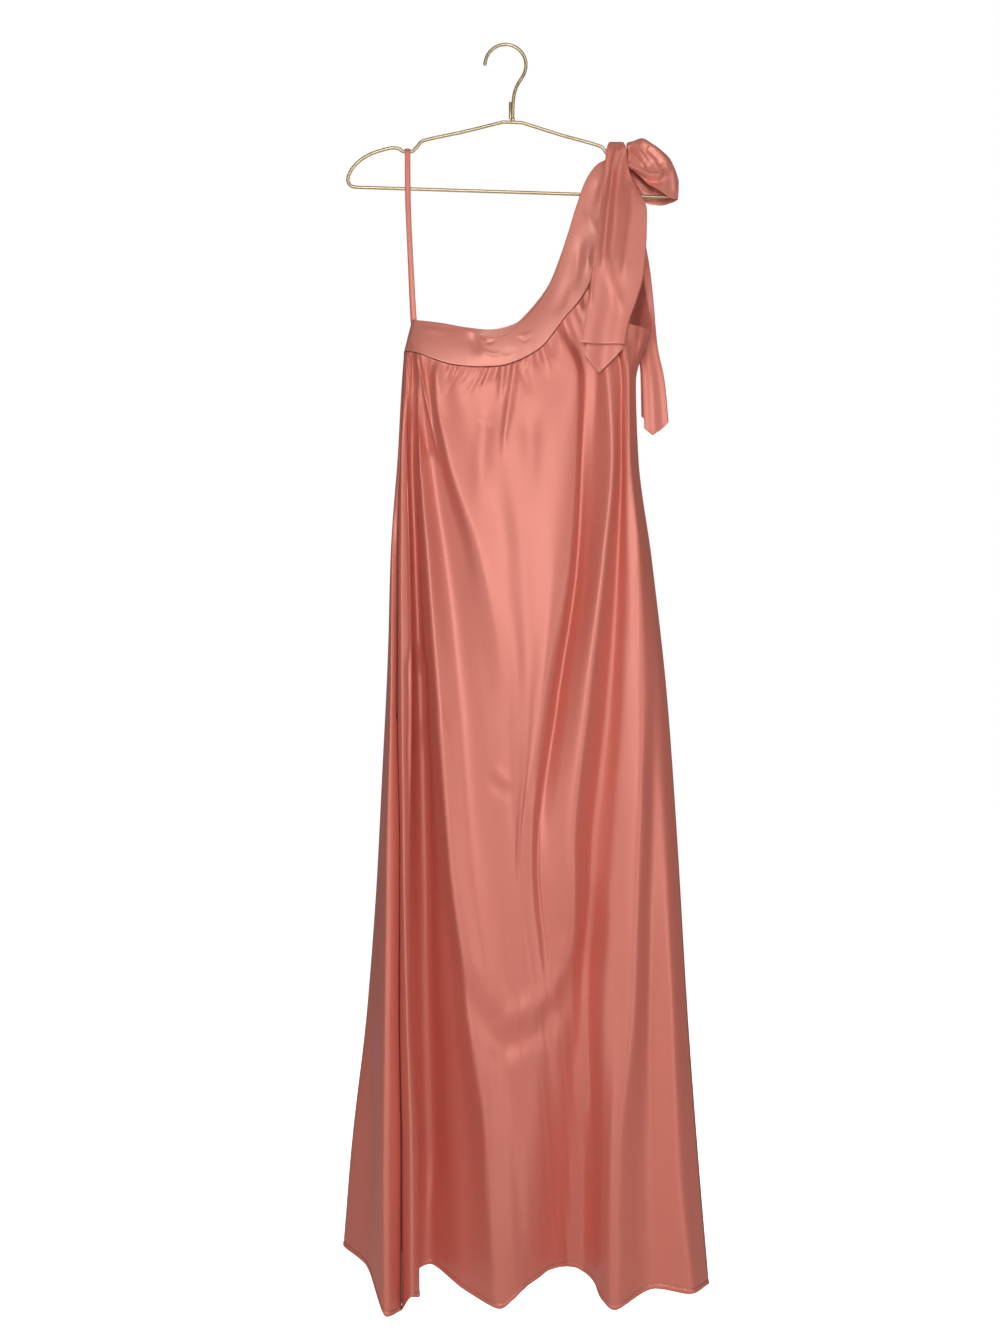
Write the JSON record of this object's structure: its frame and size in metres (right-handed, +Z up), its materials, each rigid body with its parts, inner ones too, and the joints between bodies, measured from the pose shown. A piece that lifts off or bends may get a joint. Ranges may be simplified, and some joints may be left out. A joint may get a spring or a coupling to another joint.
{
  "type": "one-shoulder dress on a wire hanger",
  "caption": "Long one-shoulder satin dress with a tied shoulder bow, hanging in deep soft folds from a slim bent-wire hanger by one strap and a ribbon loop.",
  "frame": {"origin": "the inner top of the hanger's hook, where a rail carries it", "axes": "+Z up along the hanging dress, -Y the way its front faces, +X towards the tied shoulder as the picture shows it"},
  "size_m": [0.4678, 0.1858, 1.6034],
  "materials": {
    "satin": "coral satin, soft sheen",
    "band_satin": "doubled coral satin",
    "tie_satin": "coral satin, turned edges",
    "ribbon": "narrow satin ribbon",
    "zip_tape": "woven zip tape",
    "champagne_metal": "champagne-gold plated wire"
  },
  "bodies": {
    "root": {"front_panel": "satin", "back_panel": "satin", "front_band": "band_satin", "back_band": "band_satin", "tie_front_tail": "tie_satin", "tie_back_tail": "tie_satin", "tie_bow_loop": "tie_satin", "tie_knot": "tie_satin", "hanger_loop": "ribbon", "side_zip": "zip_tape", "hanger_frame": "champagne_metal", "hanger_hook": "champagne_metal", "hanger_stub": "champagne_metal"}
  },
  "joints": []
}
